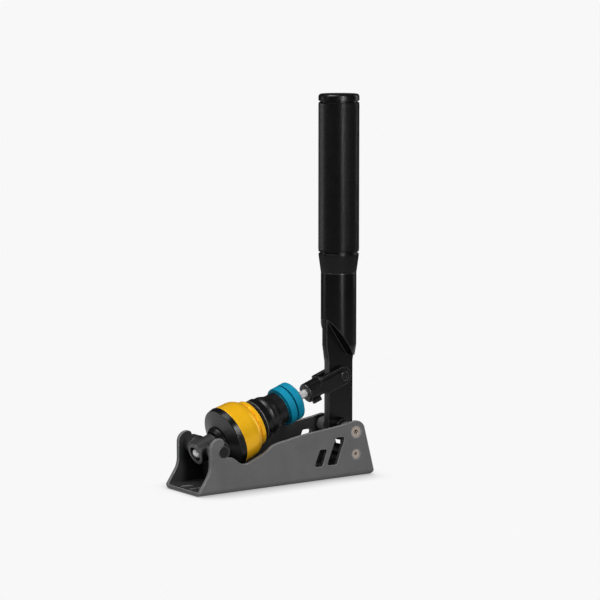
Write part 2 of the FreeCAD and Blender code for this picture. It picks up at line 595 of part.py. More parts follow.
b = turned("shank", "damper", "x",
           [(D("shank_tail"), D("counterbore")), (D("shank_tail"), D("shank_rad")), (D("shank_end"), D("shank_rad")),
            (D("shank_end"), D("bolt_rad")), (-4.5, D("bolt_rad")), (-4.5, D("counterbore"))])
dress(b, "Chamfer", 0.8, circle_edges(b, "x", [(VAL["shank_tail"], VAL["shank_rad"])]))
for start in (D("shank_flat") + 5.0, -D("shank_flat")):
    pocket(b, sketch(b, "XZ_Plane", poly([(-9.5, -12.0), (D("shank_end") + 1.0, -12.0), (D("shank_end") + 1.0, 12.0),
                                          (-9.5, 12.0)]), offset=start), 5.0)
pocket(b, sketch(b, "XZ_Plane", [("c", (0.0, 0.0), D("bolt_rad"))]), 60.0, symmetric=True)
keep(b)

b = turned("shank_screw", "damper", "x",
           [(-15.2, 0.0), (-15.2, 0.9), ("m", -14.1, 3.6), (-11.2, 5.4), (-4.5, 5.4), (-4.5, D("bolt_rad")),
            (D("cell_start") + 8.0, D("bolt_rad")), (D("cell_start") + 8.0, 0.0)])
keep(b)

b = turned("shank_collar", "damper", "x",
           [(D("shank_end"), D("bolt_rad")), (D("shank_end"), 9.4), (D("shank_end") + 1.5, 9.4),
            (D("shank_end") + 1.5, D("collar_small")), (D("cover_start") - 1.5, D("collar_large")),
            (D("cover_start") - 1.5, 12.2), (D("cover_start"), 12.2), (D("cover_start"), D("bolt_rad"))])
dress(b, "Chamfer", 0.5, circle_edges(b, "x", [(VAL["cover_start"] - 1.5, VAL["collar_large"])]))
keep(b)

b = turned("sensor_cover", "damper", "x",
           [(D("cover_start"), D("bolt_rad")), (D("cover_start"), 15.0), (D("cover_knee"), 29.0),
            (D("cover_end"), D("cover_rad")), (D("cover_end"), 27.0), (22.3, 27.0), (18.6, 12.0), (D("cell_start"), 12.0),
            (D("cell_start"), D("bolt_rad"))])
dress(b, "Fillet", 1.2, circle_edges(b, "x", [(VAL["cover_knee"], 29.0)]))
dress(b, "Fillet", 0.8, circle_edges(b, "x", [(VAL["cover_start"], 15.0)]))
keep(b)

b = turned("load_cell", "damper", "x",
           [(D("cell_start"), D("bolt_rad")), (D("cell_start"), D("cell_rad")), (D("cell_end"), D("cell_rad")),
            (D("cell_end"), D("button_rad")), (D("button_end"), D("button_rad")), (D("button_end"), 0.0), (34.0, 0.0),
            (34.0, D("bolt_rad"))])
keep(b)

b = turned("amplifier_board", "damper", "x", [(22.6, 12.0), (22.6, 24.5), (24.2, 24.5), (24.2, 12.0)])
keep(b)

b = turned("damper_housing", "damper", "x",
           [(D("cover_end"), 24.0), (D("cover_end"), D("housing_rad") - 0.4), (26.1, D("housing_rad")),
            (37.0, 29.0), ("m", 44.2, 27.6), (48.6, 24.6),
            (49.0, 24.0), (49.0, 21.7), (50.5, 21.7), (50.5, 22.8), (51.0, 23.2), (54.3, 23.2), (54.9, 22.6),
            (54.9, D("sleeve_rad")), (46.0, D("sleeve_rad")), (46.0, 24.0)])
pocket(b, sketch(b, "XZ_Plane", [("c", (33.5, 0.0), 5.0)], offset=-15.0), 20.0)
pocket(b, sketch(b, "XZ_Plane", [("c", (33.5, 0.0), 7.0)], offset=-27.9), 10.0)
keep(b)

b = turned("cable_socket", "damper", "y",
           [(23.6, 0.0), (23.6, 5.0), (27.9, 5.0), (27.9, 6.6), (29.0, 6.6), (29.0, 5.0), (30.0, 5.0), (30.0, 3.8), (27.4, 3.8),
            (27.4, 0.0)])
for ang in (45, 135, 225, 315):
    c = (1.7 * math.cos(math.radians(ang)), 1.7 * math.sin(math.radians(ang)))
    pocket(b, sketch(b, "XZ_Plane", [("c", c, 0.5)], offset=-25.9), 1.5)
b.setExpression("Placement", None)
at = FreeCAD.Placement(V(VAL["trunnion_x"], 0, VAL["trunnion_z"]), FreeCAD.Rotation(V(0, 1, 0), -VAL["tilt"]))
b.Placement = at.multiply(FreeCAD.Placement(V(33.5, 0, 0), FreeCAD.Rotation()))
keep(b)

b = turned("thrust_sleeve", "damper", "x",
           [(D("button_end"), 0.0), (D("button_end"), 20.0), (46.0, 20.0), (46.0, D("sleeve_rad")),
            (D("sleeve_end"), D("sleeve_rad")), (D("sleeve_end"), 4.6), (47.5, 4.6), (47.5, 0.0)])
keep(b)

b = turned("thrust_washer", "damper", "x", [(D("sleeve_end"), 6.0), (D("sleeve_end"), D("flange_rad")),
                                            (D("washer_end"), D("flange_rad")), (D("washer_end"), 6.0)])
keep(b)

b = turned("stack_flange", "damper", "x",
           [(D("washer_end"), 6.0), (D("washer_end"), D("flange_rad") - 0.4), (D("washer_end") + 0.4, D("flange_rad")),
            (D("flange_end") - 1.0, D("flange_rad")), (D("flange_end"), D("flange_rad") - 1.0), (D("flange_end"), 6.0)])
keep(b)

b = turned("rod_guide", "damper", "x",
           [(D("sleeve_end"), D("rod_rad") + D("guide_clear")), (D("sleeve_end"), 6.0), (D("flange_end"), 6.0),
            (D("flange_end"), D("rod_rad") + D("guide_clear"))])
keep(b)

b = turned("elastomer_black", "damper", "x",
           [(D("flange_end"), D("soft_bore")), (D("flange_end"), 18.3), (68.0, 18.3), ("m", 70.6, 19.15), (74.0, 18.7),
            ("m", 77.3, 17.4), (80.4, 16.45), (D("black_end") - 0.5, 16.35), (D("black_end"), 15.9),
            (D("black_end"), D("soft_bore"))])
keep(b)

for label, s0, s1 in (("elastomer_blue_front", D("black_end"), D("blue_mid")),
                      ("elastomer_blue_rear", D("blue_mid"), D("blue_end"))):
    b = turned(label, "damper", "x",
               [(s0, D("soft_bore")), (s0, 15.2), (s0 + 0.8, 15.2), (s0 + 0.8, 18.8), (s0 + 1.4, D("blue_rad")), (s1 - 1.4, D("blue_rad")),
                (s1 - 0.8, 18.8), (s1 - 0.8, 15.2), (s1, 15.2), (s1, D("soft_bore"))])
    keep(b)

# ------------------------------------------------------------------ rod and fork
b = turned("push_rod", "damper", "x",
           [(D("rod_start"), 0.0), (D("rod_start"), D("rod_rad") - 0.6), (D("rod_start") + 0.6, D("rod_rad")),
            (D("rod_end"), D("rod_rad")), (D("rod_end"), 0.0)])
keep(b)
b = turned("pressure_washer", "damper", "x", [(D("blue_end"), D("rod_rad")), (D("blue_end"), 15.0),
                                              (D("press_end"), 15.0), (D("press_end"), D("rod_rad"))])
keep(b)
b = new_body("rod_nut", "damper")
sk = sketch(b, "YZ_Plane", hexagon(13.0) + [("c", (0.0, 0.0), D("rod_rad"))], offset=D("press_end"))
pad(b, sk, D("nut_end") - D("press_end"), symmetric=False)
keep(b)

b = turned("fork_head", "damper", "x",
           [(D("fork_start"), D("rod_rad")), (D("fork_start"), D("fork_neck") - 1.0), (D("fork_start") + 1.0, D("fork_neck")),
            (D("fork_body") + 0.5, D("fork_neck")), (D("fork_body") + 0.5, D("rod_rad"))])
fh, pd = D("fork_half"), D("pin_dist")
fb = D("fork_body")
prof = [("l", (fb, -(fh - 1.0)), (fb + 1.0, -fh)), ("l", (fb + 1.0, -fh), (pd, -fh)), ("a", (pd, -fh), (pd + fh, 0.0), (pd, fh)),
        ("l", (pd, fh), (fb + 1.0, fh)), ("l", (fb + 1.0, fh), (fb, fh - 1.0)), ("l", (fb, fh - 1.0), (fb, -(fh - 1.0)))]
pad(b, sketch(b, "XZ_Plane", prof), fh * 2.0)
pocket(b, sketch(b, "YZ_Plane", [("c", (0.0, 0.0), D("rod_rad"))], offset=D("fork_start")), D("rod_end") - D("fork_start"))
pocket(b, sketch(b, "XZ_Plane", poly([(D("fork_slot"), -12.0), (180.0, -12.0), (180.0, 12.0), (D("fork_slot"), 12.0)])),
       D("fork_gap") * 2.0, symmetric=True)
pocket(b, sketch(b, "XZ_Plane", [("c", (pd, 0.0), D("rod_rad"))]), 40.0, symmetric=True)
keep(b)

ci, co = D("clip_inner"), D("clip_inner") + D("clip_thick")
b = turned("clevis_pin", "damper", "y",
           [(-(co + 1.3), 0.0), (-(co + 1.3), 4.0), (-(co + 0.5), 4.9), (-co, 4.9), (-co, D("rod_rad")), (9.9, D("rod_rad")),
            (10.7, D("rod_rad") - 0.8), (10.7, 0.0)])
pocket(b, sketch(b, "XZ_Plane", [("c", (0.0, 0.0), 1.6)], offset=co + 1.3), 0.7)
b.setExpression("Placement", None)
b.Placement = at.multiply(FreeCAD.Placement(V(VAL["pin_dist"], 0, 0), FreeCAD.Rotation()))
b.setExpression("Placement", "placement(vector(dims.trunnion_x + dims.pin_dist * cos(dims.tilt * 1 deg); 0; "
                             "dims.trunnion_z + dims.pin_dist * sin(dims.tilt * 1 deg)); "
                             "rotation(vector(0; 1; 0); 0 - dims.tilt))")
keep(b)

# spring clip: flat plate beside the fork, a narrow tongue, and a claw that snaps round the fork's neck
b = new_body("spring_clip", "damper")
claw0, claw1 = 123.6, 134.0
sk = sketch(b, "XY_Plane", poly([(claw0, -co), (claw1, -co), (claw1, -ci), (claw0, -ci)]))
rev = b.newObject("PartDesign::Revolution", "Claw")
rev.Profile = sk
rev.ReferenceAxis = (sk, ["H_Axis"])
rev.Angle = 200
b.Tip = rev
doc.recompute()
# the claw goes under the neck
if b.Tip.Shape.CenterOfMass.z > 0:
    rev.Reversed = True
    doc.recompute()
hw = 5.3
plate_pts = [("l", (claw0, -3.0), (134.6, -3.0)), ("l", (134.6, -3.0), (137.2, -hw)), ("l", (137.2, -hw), (pd, -hw)),
             ("a", (pd, -hw), (pd + hw, 0.0), (pd, hw)), ("l", (pd, hw), (137.2, hw)), ("l", (137.2, hw), (134.6, 3.0)),
             ("l", (134.6, 3.0), (claw0, 3.0)), ("l", (claw0, 3.0), (claw0, -3.0))]
pad(b, sketch(b, "XZ_Plane", plate_pts, offset=ci), D("clip_thick"), symmetric=False)
# finger lip that stands down from the claw and runs on under the neck
lo = -(VAL["clip_inner"] + 0.3)
pad(b, sketch(b, "XZ_Plane", poly([(126.3, -12.9), (135.9, -12.9), (135.9, lo), (126.3, lo)]), offset=1.5), 3.0,
    symmetric=False)
pocket(b, sketch(b, "XZ_Plane", [("c", (pd, 0.0), D("rod_rad"))], offset=co), D("clip_thick"))
keep(b)

# ------------------------------------------------------------------ checks and files
doc.recompute()
bad = []
for o in doc.Objects:
    if "Invalid" in o.State or "Error" in o.State:
        bad.append("%s: %s" % (o.Name, o.State))
for name, obj in NODES.items():
    s = obj.Shape
    if s.isNull() or not s.isValid():
        bad.append("%s: shape null or not valid" % name)
    elif not s.Solids:
        bad.append("%s: no solid" % name)
if bad:
    raise SystemExit("\n".join(bad))
os.makedirs("parts", exist_ok=True)
for name, obj in NODES.items():
    s = obj.Shape
    s.exportStep("parts/%s.step" % name)
    bb = s.BoundBox
    print("%-22s solids %d  vol %9.1f  x %7.2f %7.2f  y %6.2f %6.2f  z %6.2f %6.2f"
          % (name, len(s.Solids), s.Volume, bb.XMin, bb.XMax, bb.YMin, bb.YMax, bb.ZMin, bb.ZMax))
print(len(NODES), "nodes")
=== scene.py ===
import math

import bmesh
import bpy
from mathutils import Matrix, Vector


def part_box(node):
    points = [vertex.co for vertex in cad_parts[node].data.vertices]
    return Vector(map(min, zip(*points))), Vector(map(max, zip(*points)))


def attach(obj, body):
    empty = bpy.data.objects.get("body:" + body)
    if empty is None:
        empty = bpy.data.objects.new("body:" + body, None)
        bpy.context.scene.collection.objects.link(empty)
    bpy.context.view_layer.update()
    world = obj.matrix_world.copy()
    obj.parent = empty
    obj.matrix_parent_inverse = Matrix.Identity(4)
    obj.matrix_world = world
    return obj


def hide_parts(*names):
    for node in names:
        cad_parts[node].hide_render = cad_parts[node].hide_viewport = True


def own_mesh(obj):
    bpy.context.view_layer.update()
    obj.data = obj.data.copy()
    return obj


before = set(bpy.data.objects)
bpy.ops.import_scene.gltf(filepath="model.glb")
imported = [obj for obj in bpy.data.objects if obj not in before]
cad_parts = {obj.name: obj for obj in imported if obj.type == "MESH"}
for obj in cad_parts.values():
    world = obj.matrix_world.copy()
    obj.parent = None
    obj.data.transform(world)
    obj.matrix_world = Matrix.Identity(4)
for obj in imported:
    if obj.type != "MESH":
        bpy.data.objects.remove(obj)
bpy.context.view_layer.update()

MM = 0.001
TILT = math.radians(20.0938)
TRUNNION = Vector((-74.6, 0.0, 40.4)) * MM
PIVOT = Vector((80.4, 0.0, 44.4)) * MM
DAMPER = Matrix.Translation(TRUNNION) @ Matrix.Rotation(-TILT, 4, "Y")
# lathe pieces are turned about their local X, so the lever's own X runs up along it
LEVER = Matrix.Translation(Vector((80.4, 0.0, 0.0)) * MM) @ Matrix.Rotation(-math.pi / 2, 4, "Y")
CROSS = Matrix.Translation(PIVOT) @ Matrix.Rotation(math.pi / 2, 4, "Z")


# ---------------------------------------------------------------- materials
def node(tree, kind, **props):
    n = tree.nodes.new(kind)
    for k, v in props.items():
        setattr(n, k, v)
    return n


def material(name, dark, light, metallic=0.0, rough=(0.35, 0.45), spec=0.5, blotch=60.0, grain=900.0, bump=0.0004,
             bump_scale=None, rings=None, aniso=0.0, fleck=None, coat=0.0, ring_share=0.35, detail=4.0, stretch=None):
    """Colour that drifts between two tones, with roughness and fine relief of its own. Lengths are in metres."""
    m = bpy.data.materials.new(name)
    m.use_nodes = True
    t = m.node_tree
    t.nodes.clear()
    out = node(t, "ShaderNodeOutputMaterial")
    p = node(t, "ShaderNodeBsdfPrincipled")
    t.links.new(p.outputs[0], out.inputs[0])
    p.inputs["Metallic"].default_value = metallic
    p.inputs["Specular IOR Level"].default_value = spec
    if coat:
        p.inputs["Coat Weight"].default_value = coat
        p.inputs["Coat Roughness"].default_value = 0.3
    co = node(t, "ShaderNodeTexCoord").outputs["Object"]
    if stretch:
        mp = node(t, "ShaderNodeMapping")
        mp.inputs["Scale"].default_value = stretch
        t.links.new(co, mp.inputs["Vector"])
        fine_co = mp.outputs[0]
    else:
        fine_co = co
    big = node(t, "ShaderNodeTexNoise")
    big.inputs["Scale"].default_value = blotch
    big.inputs["Detail"].default_value = detail
    big.inputs["Roughness"].default_value = 0.6
    t.links.new(co, big.inputs["Vector"])
    fine = node(t, "ShaderNodeTexNoise")
    fine.inputs["Scale"].default_value = grain
    fine.inputs["Detail"].default_value = 3.0
    fine.inputs["Roughness"].default_value = 0.65
    t.links.new(fine_co, fine.inputs["Vector"])
    # colour: broad drift with fine grain over it
    blend = node(t, "ShaderNodeMath", operation="MULTIPLY_ADD")
    t.links.new(fine.outputs["Fac"], blend.inputs[0])
    blend.inputs[1].default_value = 0.55
    part = node(t, "ShaderNodeMath", operation="MULTIPLY")
    t.links.new(big.outputs["Fac"], part.inputs[0])
    part.inputs[1].default_value = 0.45
    t.links.new(part.outputs[0], blend.inputs[2])
    ramp = node(t, "ShaderNodeValToRGB")
    ramp.color_ramp.elements[0].position = 0.33
    ramp.color_ramp.elements[1].position = 0.67
    ramp.color_ramp.elements[0].color = (*dark, 1)
    ramp.color_ramp.elements[1].color = (*light, 1)
    t.links.new(blend.outputs[0], ramp.inputs["Fac"])
    colour = ramp.outputs["Color"]
    if fleck:
        tone, size, amount = fleck
        vor = node(t, "ShaderNodeTexVoronoi")
        vor.inputs["Scale"].default_value = size
        t.links.new(co, vor.inputs["Vector"])
        cut = node(t, "ShaderNodeValToRGB")
        cut.color_ramp.elements[0].position = amount
        cut.color_ramp.elements[1].position = amount + 0.12
        cut.color_ramp.elements[0].color = (1, 1, 1, 1)
        cut.color_ramp.elements[1].color = (0, 0, 0, 1)
        t.links.new(vor.outputs["Distance"], cut.inputs["Fac"])
        mix = node(t, "ShaderNodeMix", data_type="RGBA")
        t.links.new(cut.outputs["Color"], mix.inputs["Factor"])
        t.links.new(colour, mix.inputs["A"])
        mix.inputs["B"].default_value = (*tone, 1)
        colour = mix.outputs["Result"]
    t.links.new(colour, p.inputs["Base Color"])
    # roughness
    rr = node(t, "ShaderNodeMapRange")
    rr.inputs["From Min"].default_value = 0.3
    rr.inputs["From Max"].default_value = 0.7
    rr.inputs["To Min"].default_value = rough[0]
    rr.inputs["To Max"].default_value = rough[1]
    t.links.new(blend.outputs[0], rr.inputs["Value"])
    t.links.new(rr.outputs[0], p.inputs["Roughness"])
    # relief
    height = fine.outputs["Fac"]
    if bump_scale:
        orange = node(t, "ShaderNodeTexNoise")
        orange.inputs["Scale"].default_value = bump_scale
        orange.inputs["Detail"].default_value = 2.0
        t.links.new(co, orange.inputs["Vector"])
        height = orange.outputs["Fac"]
    if rings:
        wave = node(t, "ShaderNodeTexWave", wave_type="BANDS", bands_direction="X", wave_profile="SIN")
        wave.inputs["Scale"].default_value = 2 * math.pi / (20 * rings)
        wave.inputs["Distortion"].default_value = 0.6
        wave.inputs["Detail"].default_value = 1.0
        wave.inputs["Detail Scale"].default_value = 0.4
        t.links.new(co, wave.inputs["Vector"])
        add = node(t, "ShaderNodeMath", operation="MULTIPLY_ADD")
        t.links.new(wave.outputs["Fac"], add.inputs[0])
        add.inputs[1].default_value = ring_share
        t.links.new(height, add.inputs[2])
        height = add.outputs[0]
    b = node(t, "ShaderNodeBump")
    b.inputs["Strength"].default_value = 0.5
    b.inputs["Distance"].default_value = bump
    t.links.new(height, b.inputs["Height"])
    t.links.new(b.outputs[0], p.inputs["Normal"])
    if aniso:
        p.inputs["Anisotropic"].default_value = aniso
        tan = node(t, "ShaderNodeTangent", direction_type="RADIAL", axis="X")
        t.links.new(tan.outputs[0], p.inputs["Tangent"])
    return m


POWDER = material("grey_powder", (0.108, 0.108, 0.111), (0.149, 0.149, 0.153), rough=(0.50, 0.66), spec=0.20, blotch=45,
                  grain=2600, bump=0.00008, bump_scale=1700, fleck=((0.215, 0.215, 0.22), 1500.0, 0.10))
# painted highlight: a paler, glossier copy of the grey powder for the bevelled edges, standing for light catching the
# edges
POWDER_EDGE_HIGHLIGHT = material("grey_powder_painted_edge_highlight", (0.18, 0.18, 0.185), (0.25, 0.25, 0.255), rough=(0.42, 0.56), spec=0.38,
                       blotch=120, grain=2600, bump=0.00006, bump_scale=1700)
# painted shade: a near-black copy of the grey powder for the bracket's inner faces, standing for the shade inside the
# channel
POWDER_INSIDE_SHADE = material("grey_powder_painted_inside_shade", (0.016, 0.016, 0.017), (0.030, 0.030, 0.031), rough=(0.45, 0.62), spec=0.25,
                         blotch=45, grain=2600, bump=0.00008, bump_scale=1700)
# painted shade: a darker copy of the grey powder for the window walls, standing for the shade in the window openings
POWDER_WALL_SHADE = material("grey_powder_painted_wall_shade", (0.040, 0.040, 0.041), (0.062, 0.062, 0.064), rough=(0.50, 0.64), spec=0.25,
                       blotch=45, grain=2600, bump=0.00006, bump_scale=1700)
BLACK = material("black_anodised", (0.0024, 0.0024, 0.0029), (0.0048, 0.0048, 0.0055), rough=(0.21, 0.28), spec=0.27,
                 blotch=90, grain=3000, bump=0.000015, rings=0.00035, ring_share=0.5)
BLACK_TURNED = material("black_anodised_turned", (0.0024, 0.0024, 0.0029), (0.0048, 0.0048, 0.0055), rough=(0.23, 0.30),
                        spec=0.29, blotch=90, grain=3000, bump=0.00002, rings=0.00035, ring_share=0.8, aniso=0.4)
# painted light: a much paler, rougher black for the tongue's narrow milled sides, standing for the light from the side
BLACK_MILLED_LIT = material("black_anodised_milled_painted_light", (0.020, 0.020, 0.021), (0.032, 0.032, 0.034), rough=(0.30, 0.40), spec=0.5,
                        blotch=90, grain=700, bump=0.00003)
# painted highlight: a paler copy of the black anodised finish for the bevelled edges, standing for light catching the
# edges
BLACK_EDGE_HIGHLIGHT = material("black_anodised_painted_edge_highlight", (0.018, 0.018, 0.020), (0.032, 0.032, 0.034), rough=(0.28, 0.36), spec=0.55,
                      blotch=200, grain=3000, bump=0.00001)
# painted highlight: a paler copy of the satin black for the bevelled edges, standing for light catching the edges
SATIN_EDGE_HIGHLIGHT = material("black_satin_painted_edge_highlight", (0.050, 0.050, 0.052), (0.080, 0.080, 0.082), rough=(0.35, 0.45), spec=0.6,
                      blotch=120, grain=2800, bump=0.00001)
SATIN = material("black_satin", (0.0080, 0.0080, 0.0088), (0.0150, 0.0150, 0.0160), rough=(0.31, 0.39), spec=1.0, blotch=60,
                 grain=2800, bump=0.00002)
SATIN_BAR = material("black_satin_bar", (0.020, 0.020, 0.021), (0.032, 0.032, 0.033), rough=(0.29, 0.37), spec=0.9, blotch=60,
                     grain=1900, bump=0.00002)
KNURL = material("black_knurl", (0.0022, 0.0022, 0.0025), (0.0045, 0.0045, 0.0050), rough=(0.30, 0.40), spec=0.17, blotch=70,
                 grain=3500, bump=0.00001)
# painted highlight: a brighter, glossier black for the knurl's flat tops, standing for light catching them against the
# shaded grooves
KNURL_TOP_HIGHLIGHT = material("black_knurl_painted_top_highlight", (0.0100, 0.0100, 0.0108), (0.0170, 0.0170, 0.0180), rough=(0.24, 0.33), spec=0.50,
                     blotch=70, grain=3500, bump=0.00001)
OXIDE = material("black_oxide", (0.0018, 0.0018, 0.0021), (0.0050, 0.0050, 0.0053), rough=(0.24, 0.36), spec=0.34,
                 blotch=220, grain=2200, bump=0.00002)
# painted highlight: a paler copy of the black oxide for the bevelled edges, standing for light catching the edges
OXIDE_EDGE_HIGHLIGHT = material("black_oxide_painted_edge_highlight", (0.020, 0.020, 0.021), (0.042, 0.042, 0.043), rough=(0.26, 0.36), spec=0.60,
                      blotch=300, grain=2600, bump=0.00001)
GOLD = material("gold_anodised", (0.96, 0.470, 0.008), (1.0, 0.555, 0.015), metallic=0.36, rough=(0.26, 0.34), spec=0.3,
                blotch=35, grain=2400, bump=0.00001, rings=0.00030, ring_share=0.9, aniso=0.35, stretch=(6.0, 1.0, 1.0))
BLUE = material("blue_elastomer", (0.0008, 0.180, 0.292), (0.0014, 0.238, 0.375), rough=(0.48, 0.60), spec=0.16, blotch=160,
                grain=2600, bump=0.00004, bump_scale=1500, fleck=((0.002, 0.27, 0.41), 1400.0, 0.10))
RUBBER = material("black_rubber", (0.0030, 0.0030, 0.0030), (0.0064, 0.0063, 0.0062), rough=(0.33, 0.43), spec=0.36,
                  blotch=150, grain=2400, bump=0.000015, bump_scale=1300)
STEEL = material("turned_steel", (0.50, 0.50, 0.50), (0.66, 0.66, 0.67), metallic=1.0, rough=(0.26, 0.38), blotch=200,
                 grain=2500, bump=0.00002, rings=0.00030, ring_share=0.8, aniso=0.4)
DULL_STEEL = material("dull_steel", (0.13, 0.13, 0.13), (0.20, 0.20, 0.205), metallic=0.6, rough=(0.42, 0.54), spec=0.4,
                      blotch=200, grain=2500, bump=0.00002, rings=0.00030, ring_share=0.6)
BRIGHT = material("ground_steel", (0.78, 0.78, 0.79), (0.90, 0.90, 0.91), metallic=0.6, rough=(0.24, 0.34), blotch=250,
                  grain=2500, bump=0.000008, rings=0.00060, ring_share=0.5, aniso=0.3)
ZINC = material("zinc_screw", (0.34, 0.290, 0.252), (0.53, 0.455, 0.402), metallic=0.30, rough=(0.34, 0.46), spec=0.4,
                blotch=450, grain=2500, bump=0.00002)
# painted highlight: a paler copy of the zinc for the bevelled edges of the screw heads, standing for light catching the
# rims
ZINC_EDGE_HIGHLIGHT = material("zinc_screw_painted_edge_highlight", (0.50, 0.42, 0.36), (0.66, 0.56, 0.49), metallic=0.5, rough=(0.28, 0.38),
                     blotch=450, grain=2500, bump=0.00001)
# painted shade: a dark brown for the walls and bottom of the hexagon sockets, standing for the shade in the recess
SOCKET_SHADE = material("screw_socket_painted_shade", (0.020, 0.014, 0.010), (0.048, 0.034, 0.024), rough=(0.45, 0.6), spec=0.25, blotch=500,
                  grain=2500, bump=0.00001)
BRONZE = material("sintered_bronze", (0.38, 0.24, 0.11), (0.55, 0.37, 0.19), metallic=1.0, rough=(0.40, 0.52), blotch=300,
                  grain=2800, bump=0.00005)
BOARD = material("solder_mask", (0.006, 0.075, 0.028), (0.012, 0.125, 0.05), rough=(0.22, 0.34), spec=0.5, blotch=300,
                 grain=2500, bump=0.00003)
PLASTIC = material("moulded_black", (0.010, 0.010, 0.010), (0.020, 0.020, 0.020), rough=(0.38, 0.50), spec=0.4, blotch=260,
                   grain=2500, bump=0.00004, bump_scale=1800)


# ---------------------------------------------------------------- mesh building
def finish_mesh(name, me, place, body, nodes, mats, sharp=40.0, weighted=True):
    me.polygons.foreach_set("use_smooth", [True] * len(me.polygons))
    me.set_sharp_from_angle(angle=math.radians(sharp))
    for m in mats:
        me.materials.append(m)
    me.update()
    ob = bpy.data.objects.new(name, me)
    bpy.context.scene.collection.objects.link(ob)
    ob.matrix_world = place
    bpy.context.view_layer.update()
    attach(ob, body)
    if nodes:
        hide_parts(*nodes)
    if weighted:
        w = ob.modifiers.new("face_weighted_normals", "WEIGHTED_NORMAL")
        w.keep_sharp = True
        w.weight = 90
    return ob


def through(p0, pm, p1, steps):
    """Points of the arc from p0 to p1 through pm, both ends left out."""
    ax, ay, bx, by, cx, cy = *p0, *pm, *p1
    d = 2 * (ax * (by - cy) + bx * (cy - ay) + cx * (ay - by))
    ux = ((ax * ax + ay * ay) * (by - cy) + (bx * bx + by * by) * (cy - ay) + (cx * cx + cy * cy) * (ay - by)) / d
    uy = ((ax * ax + ay * ay) * (cx - bx) + (bx * bx + by * by) * (ax - cx) + (cx * cx + cy * cy) * (bx - ax)) / d
    r = math.hypot(ax - ux, ay - uy)
    a = [math.atan2(y - uy, x - ux) for x, y in (p0, pm, p1)]
    sweep = (a[2] - a[0]) % (2 * math.pi)
    if (a[1] - a[0]) % (2 * math.pi) > sweep:
        sweep -= 2 * math.pi
    return [(ux + r * math.cos(a[0] + sweep * k / steps), uy + r * math.sin(a[0] + sweep * k / steps)) for k in range(1, steps)]


def outline(pts, round_to, steps=3):
    """Rounds the corners of a closed outline of (s, r) or (s, r, radius). An entry ("m", s, r) makes an arc."""
    flat = []
    n = len(pts)
    for i, p in enumerate(pts):
        if p[0] == "m":
            for q in through(pts[i - 1][:2], p[1:3], pts[(i + 1) % n][:2], 14):
                flat.append((q[0], q[1], 0.0))
        else:
            flat.append((p[0], p[1], p[2] if len(p) > 2 else round_to))
    out = []
    n = len(flat)
    for i, (x, y, f) in enumerate(flat):
        a, c = flat[i - 1], flat[(i + 1) % n]
        u = Vector((a[0] - x, a[1] - y))
        w = Vector((c[0] - x, c[1] - y))
        lu, lw = u.length, w.length
        if f <= 0 or y < 1e-6 or lu < 1e-6 or lw < 1e-6:
            out.append((x, y))
            continue
        u, w = u / lu, w / lw
        ang = math.acos(max(-1, min(1, u.dot(w))))
        if ang > math.radians(172) or ang < 0.05:
            out.append((x, y))
            continue
        run = min(f / math.tan(ang / 2), 0.42 * lu, 0.42 * lw)
        rad = run * math.tan(ang / 2)
        mid = (u + w).normalized()
        cen = Vector((x, y)) + mid * (rad / math.sin(ang / 2))
        s0, s1 = Vector((x, y)) + u * run, Vector((x, y)) + w * run
        a0 = math.atan2(s0.y - cen.y, s0.x - cen.x)
        a1 = math.atan2(s1.y - cen.y, s1.x - cen.x)
        d = (a1 - a0 + math.pi) % (2 * math.pi) - math.pi
        for k in range(steps + 1):
            g = a0 + d * k / steps
            out.append((cen.x + rad * math.cos(g), cen.y + rad * math.sin(g)))
    return out


def revolve(pts, segs, slots=None):
    """A closed outline (s, r) in mm turned about X, as mesh data in metres."""
    verts, rings, faces, mats = [], [], [], []
    for s, r in pts:
        if r < 1e-6:
            rings.append([len(verts)] * segs)
            verts.append((s * MM, 0.0, 0.0))
        else:
            rings.append([len(verts) + k for k in range(segs)])
            for k in range(segs):
                a = 2 * math.pi * k / segs
                verts.append((s * MM, r * math.cos(a) * MM, r * math.sin(a) * MM))
    n = len(pts)
    for i in range(n):
        a, b = rings[i], rings[(i + 1) % n]
        if pts[i][1] < 1e-6 and pts[(i + 1) % n][1] < 1e-6:
            continue
        for k in range(segs):
            j = (k + 1) % segs
            f = [a[k], a[j], b[j], b[k]]
            f = [v for q, v in enumerate(f) if v != f[q - 1]]
            if len(f) >= 3:
                faces.append(f)
                mats.append(slots[i] if slots else 0)
    me = bpy.data.meshes.new("turned")
    me.from_pydata(verts, [], faces)
    bm = bmesh.new()
    bm.from_mesh(me)
    bmesh.ops.recalc_face_normals(bm, faces=bm.faces)
    bm.to_mesh(me)
    bm.free()
    return me


def turned(name, pts, body, nodes, mats, place=None, round_to=0.3, steps=3, segs=144, sharp=40.0):
    me = revolve(outline(pts, round_to, steps), segs)
    return finish_mesh(name, me, place if place is not None else DAMPER, body, nodes, mats, sharp)


